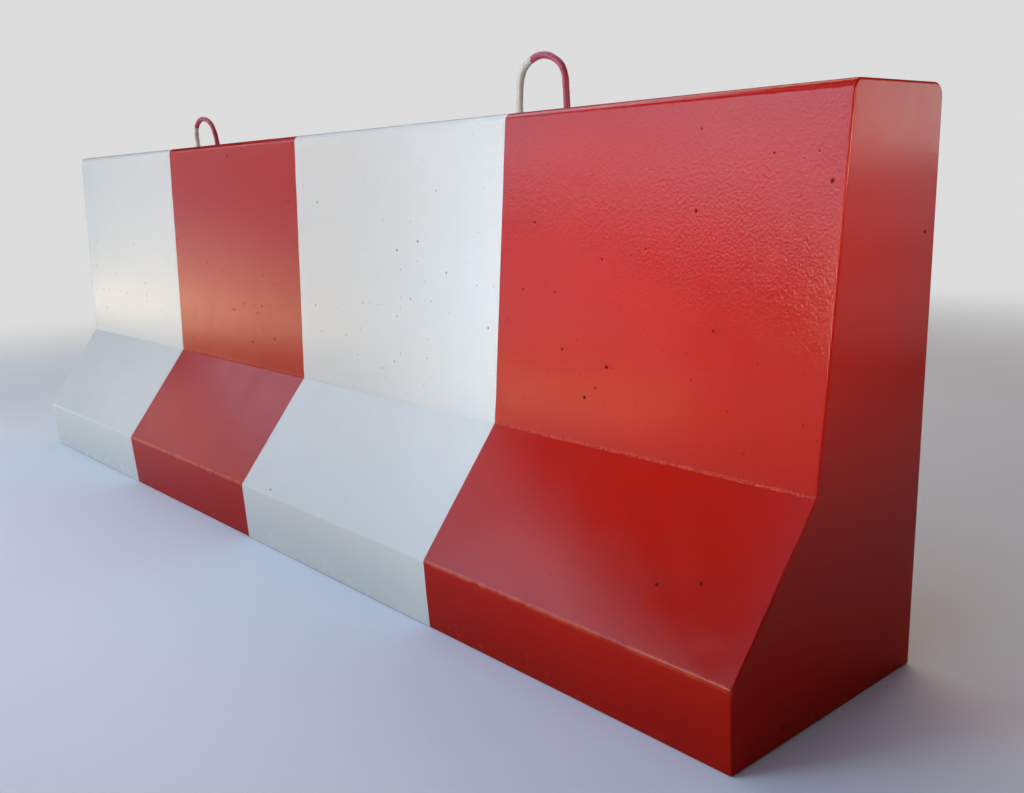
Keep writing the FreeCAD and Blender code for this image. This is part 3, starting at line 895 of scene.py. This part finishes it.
# ================= studio =================
def disc(name, rings, material):
    """A round sheet or shell. rings holds (radius, height) from the middle out."""
    spokes, points, faces = 64, [], []
    for radius, z in rings:
        turns = (2 * math.pi * i / spokes for i in range(spokes))
        points += [(radius * math.cos(a), radius * math.sin(a), z) for a in turns]
    for ring in range(len(rings) - 1):
        for i in range(spokes):
            j = (i + 1) % spokes
            faces.append(tuple(n + ring * spokes for n in (i, j, j + spokes, i + spokes)))
    faces.append(tuple(range(spokes)))
    obj = new_object(name, points, faces, material, smooth=False)
    return obj


def panel(at, towards, width, tall, watts, tint, spread=180):
    data = bpy.data.lights.new("panel", "AREA")
    data.shape = "RECTANGLE"
    data.size, data.size_y = width, tall
    data.energy, data.color, data.spread = watts, tint, math.radians(spread)
    light = bpy.data.objects.new("panel", data)
    light.location = at
    light.rotation_euler = (Vector(at) - Vector(towards)).to_track_quat("Z", "Y").to_euler()
    light.visible_camera = False
    bpy.context.scene.collection.objects.link(light)


def column_of_panels(azimuth, panels):
    turn = math.radians(azimuth)
    x = LIT_POINT[0] + COLUMN_DISTANCE * math.cos(turn)
    y = LIT_POINT[1] + COLUMN_DISTANCE * math.sin(turn)
    for low_end, high_end, watts, tint in panels:
        z = (low_end + high_end) / 2
        panel((x, y, z), (*LIT_POINT, z), COLUMN_WIDTH, high_end - low_end, watts, tint)


def studio():
    disc("studio_floor", [(0.01, 0.0), (FLOOR_FADES[1], 0.0)], floor_material())
    turns = np.linspace(0.02, math.pi - 0.02, 24)
    shell = [(BACKDROP_RADIUS * math.sin(a), BACKDROP_RADIUS * math.cos(a)) for a in turns]
    backdrop = disc("studio_backdrop", shell, backdrop_material())
    # The backdrop is only seen: it throws no light on the block and isn't reflected in the gloss.
    backdrop.visible_diffuse = backdrop.visible_glossy = backdrop.visible_shadow = False
    world = bpy.data.worlds.new("studio")
    world.use_nodes = True
    air = world.node_tree.nodes["Background"].inputs
    air["Color"].default_value = AIR_GLOW
    air["Strength"].default_value = AIR_STRENGTH
    bpy.context.scene.world = world
    for azimuth, panels in COLUMNS.items():
        column_of_panels(azimuth, panels)
    for settings in PANELS:
        panel(*settings)
    bpy.context.scene.view_settings.view_transform = "Standard"


def camera():
    """A 35 mm lens held low beside the red end, with the picture cropped off its axis."""
    data = bpy.data.cameras.new("camera")
    data.sensor_width, data.lens = SENSOR_WIDTH, LENS
    data.shift_x, data.shift_y = SHIFT_X, SHIFT_Y
    ahead = Vector((math.cos(HEADING), math.sin(HEADING), 0.0))
    forward = ahead * math.cos(PITCH) + Vector((0.0, 0.0, math.sin(PITCH)))
    level = Vector((math.sin(HEADING), -math.cos(HEADING), 0.0))
    upright = level.cross(forward)
    right = level * math.cos(ROLL) + upright * math.sin(ROLL)
    up = right.cross(forward)
    obj = bpy.data.objects.new("camera", data)
    turn = Matrix((right, up, -forward)).transposed().to_4x4()
    obj.matrix_world = Matrix.Translation(CAMERA_PLACE) @ turn
    bpy.context.scene.collection.objects.link(obj)
    bpy.context.scene.camera = obj


# ================= assembly =================
def repaint(node, material):
    """Gives a CAD node that keeps its own shape a better material."""
    for material_slot in frame["nodes"][node].material_slots:
        material_slot.material = material


def build():
    white, red, chalky_red = white_enamel(), red_enamel(), chalky_red_enamel()
    grey, steel, plastic = concrete(), cage_steel(), spacer_plastic()
    skin = Skin()
    for band, node in enumerate(BANDS):
        is_red = node.startswith("red")
        film = paint_film(skin, band, red if is_red else white)
        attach(film, "root")
        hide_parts(node)
    casting = bare_casting(skin, grey)
    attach(casting, "root")
    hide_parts("concrete_body")
    for node, turned, red_from, seed in LOOPS:
        loop = lifting_loop(node, turned, red_from, seed, (white, chalky_red, steel))
        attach(loop, "root")
        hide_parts(node)
    for part in frame["record"]["subparts"]:
        if part["material_slot"] == "cage_steel":
            repaint(part["node"], steel)
        if part["material_slot"] == "spacer_plastic":
            repaint(part["node"], plastic)


build()
studio()
camera()
